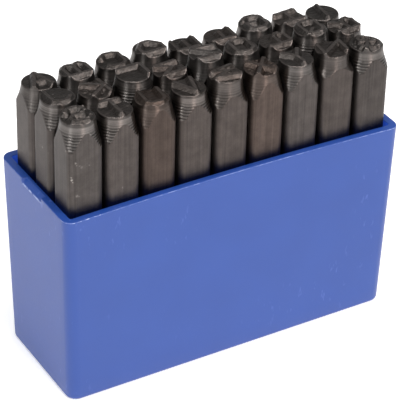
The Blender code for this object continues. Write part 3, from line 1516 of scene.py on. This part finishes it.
@dataclass
class PunchSet:
    """Twenty-seven punches in three rows."""

    pitch: float = 11.0
    usual_length: float = 82.2
    front_y: float = -11.6
    middle_y: float = -0.2
    back_y: float = 10.7
    seed: int = 27

    def row(self, letters: str, y: float, bow: float) -> list[Punch]:
        """Return one row of punches, left to right.

        Args:
            letters: Characters in order.
            y: Row position at the case's ends.
            bow: How far the middle of the row is pushed back.

        Returns:
            The punches.
        """
        found = []
        for place, letter in enumerate(letters):
            draw = random.Random(f"{self.seed}{letter}")
            x = (place - (len(letters) - 1) / 2) * self.pitch
            arch = ARCHES.get(letter, (draw.uniform(3.2, 4.4), draw.uniform(7.0, 7.9)))
            extra = 2 * (letter in "ln") + (letter in "sdjoqw")
            extra -= (letter in "efhr&") + 2 * (letter == "i")
            found.append(
                Punch(
                    letter=letter,
                    x=x,
                    y=y + bow * max(0.0, 1 - (2 * x / Case.length) ** 2),
                    length=self.usual_length + extra,
                    quarter_turns=(letter in "lmnz") - (letter in "bdefhprw"),
                    shade=draw.uniform(0.88, 1.12),
                    warmth=0.45 if letter in "ux" else draw.uniform(0.0, 0.2),
                    wear=1.0 if letter in "stj" else draw.uniform(0.0, 0.6),
                    ring_depth=0.16 if letter in "stvjlq&" else draw.uniform(0.01, 0.06),
                    drift=draw.uniform(0.0, 20.0),
                    twist=math.radians(draw.uniform(-6, 6)),
                    pitting=0.24 if letter in "swxk&" else draw.uniform(0.11, 0.17),
                    arch_top=arch[0],
                    arch_foot=arch[1],
                )
            )
        return found

    def build(self) -> list[bpy.types.Object]:
        """Make all the punches.

        Returns:
            The new objects.
        """
        finishes = (DRAWN_BAR, TURNED_NECK, MILLED_FLANK, RUBBED_LAND)
        materials = [steel.material("steel_" + steel.surface.name.lower()) for steel in finishes]
        knocked = [KNOCKED_BAR.material("steel_drawn_knocked")] + materials[1:]
        rows = (
            ("stuvwxyz&", self.front_y, Case.inner_bow),
            ("jklmnopqr", self.middle_y, 0.0),
            ("abcdefghi", self.back_y, 0.0),
        )
        made = []
        for letters, y, bow in rows:
            for punch in self.row(letters, y, bow):
                made.append(punch.build(knocked if punch.letter == "s" else materials))
                LOG.info("built %s", punch.node)
        return made


@dataclass(frozen=True)
class Softbox:
    """One rectangular studio light that faces the object."""

    name: str
    azimuth: float
    elevation: float
    distance: float
    width: float
    height: float
    power: float
    colour: str = "#FFFFFF"

    def build(self) -> bpy.types.Object:
        """Make the light.

        Returns:
            The new object.
        """
        lamp = bpy.data.lights.new(self.name, "AREA")
        lamp.shape = "RECTANGLE"
        lamp.size, lamp.size_y = self.width, self.height
        lamp.energy = self.power
        lamp.color = linear(self.colour)[:3]
        item = bpy.data.objects.new(self.name, lamp)
        bpy.context.scene.collection.objects.link(item)
        back = direction(self.azimuth, self.elevation)
        item.location = Vector((0.0, 0.0, 0.05)) + back * self.distance
        item.rotation_mode = "QUATERNION"
        item.rotation_quaternion = back.to_track_quat("Z", "Y")
        return item


def direction(azimuth: float, elevation: float) -> Vector:
    """Return the unit vector towards an azimuth and elevation, in degrees; 0 is the front."""
    a, e = math.radians(azimuth), math.radians(elevation)
    return Vector((math.sin(a) * math.cos(e), -math.cos(a) * math.cos(e), math.sin(e)))


@dataclass
class Studio:
    """Pale sweep, soft lights and the camera."""

    floor_half: float = 3.0
    floor_colour: str = "#FAFAFA"
    fibre_colour: str = "#FDFDFD"
    sky: float = 0.37
    sweep_glow: float = 0.3
    lens: float = 196.3
    camera_azimuth: float = -30.975
    camera_elevation: float = 33.355
    camera_roll: float = 1.5136
    camera_distance: float = 0.5853
    camera_target: tuple[float, float, float] = (-8.448, -13.311, 49.825)

    def build_floor(self) -> None:
        """Make the pale floor."""
        half = self.floor_half
        mesh = bpy.data.meshes.new("floor")
        corners = [(-half, -half, 0), (half, -half, 0), (half, half, 0), (-half, half, 0)]
        mesh.from_pydata(corners, [], [(0, 1, 2, 3)])
        floor = add_piece("floor", mesh)
        floor.location.z = -0.1 * MM
        paper = bpy.data.materials.new("matt_background_paper")
        paper.use_nodes = True
        tree = paper.node_tree
        shader = tree.nodes["Principled BSDF"]
        shader.inputs["Roughness"].default_value = 0.9
        shader.inputs["Specular IOR Level"].default_value = 0.1
        # The sweep is lit from below as well, so that nothing on it throws a hard shadow.
        shader.inputs["Emission Color"].default_value = grey(1.0)
        shader.inputs["Emission Strength"].default_value = self.sweep_glow
        place = add_node(tree, "TexCoord")
        fibre = add_node(tree, "TexNoise", {"Scale": 400.0}, {"Vector": place.outputs["Object"]})
        tone = add_node(tree, "ValToRGB", links={"Fac": fibre.outputs["Fac"]})
        set_ramp(tone, [(0.3, linear(self.floor_colour)), (0.7, linear(self.fibre_colour))])
        tree.links.new(tone.outputs["Color"], shader.inputs["Base Color"])
        mesh.materials.append(paper)

    def build_lights(self) -> None:
        """Make the sky and the softboxes."""
        world = bpy.data.worlds.new("studio")
        bpy.context.scene.world = world
        world.use_nodes = True
        sky = world.node_tree.nodes["Background"]
        sky.inputs["Color"].default_value = grey(1.0)
        sky.inputs["Strength"].default_value = self.sky
        for box in (
            Softbox("key_left", -72, 35, 2.0, 0.26, 1.2, 13.5),
            Softbox("key_front", 4, 35, 2.0, 0.42, 1.2, 21.0, "#FFF0EA"),
            Softbox("rim_right", 38, 46, 2.0, 0.4, 0.4, 11.0),
            Softbox("overhead", 0, 80, 2.0, 1.2, 1.2, 19.0),
        ):
            box.build()

    def build_camera(self) -> None:
        """Make the camera, front left of the case and above it."""
        camera = bpy.data.cameras.new("camera")
        camera.sensor_width = 36.0
        camera.lens = self.lens
        camera.clip_start, camera.clip_end = 0.05, 20.0
        item = bpy.data.objects.new("camera", camera)
        bpy.context.scene.collection.objects.link(item)
        back = direction(self.camera_azimuth, self.camera_elevation)
        item.location = Vector(self.camera_target) * MM + back * self.camera_distance
        item.rotation_mode = "QUATERNION"
        roll = Quaternion((0.0, 0.0, 1.0), math.radians(self.camera_roll))
        item.rotation_quaternion = back.to_track_quat("Z", "Y") @ roll
        bpy.context.scene.camera = item

    def build(self) -> None:
        """Make everything that isn't the object."""
        self.build_floor()
        self.build_lights()
        self.build_camera()
        bpy.context.scene.view_settings.view_transform = "Standard"


def main() -> None:
    """Build the case, the punches and the studio."""
    logging.basicConfig(level=logging.INFO, format="%(name)s: %(message)s")
    Case().build()
    LOG.info("built case")
    PunchSet().build()
    Studio().build()


if __name__ == "__main__":
    main()
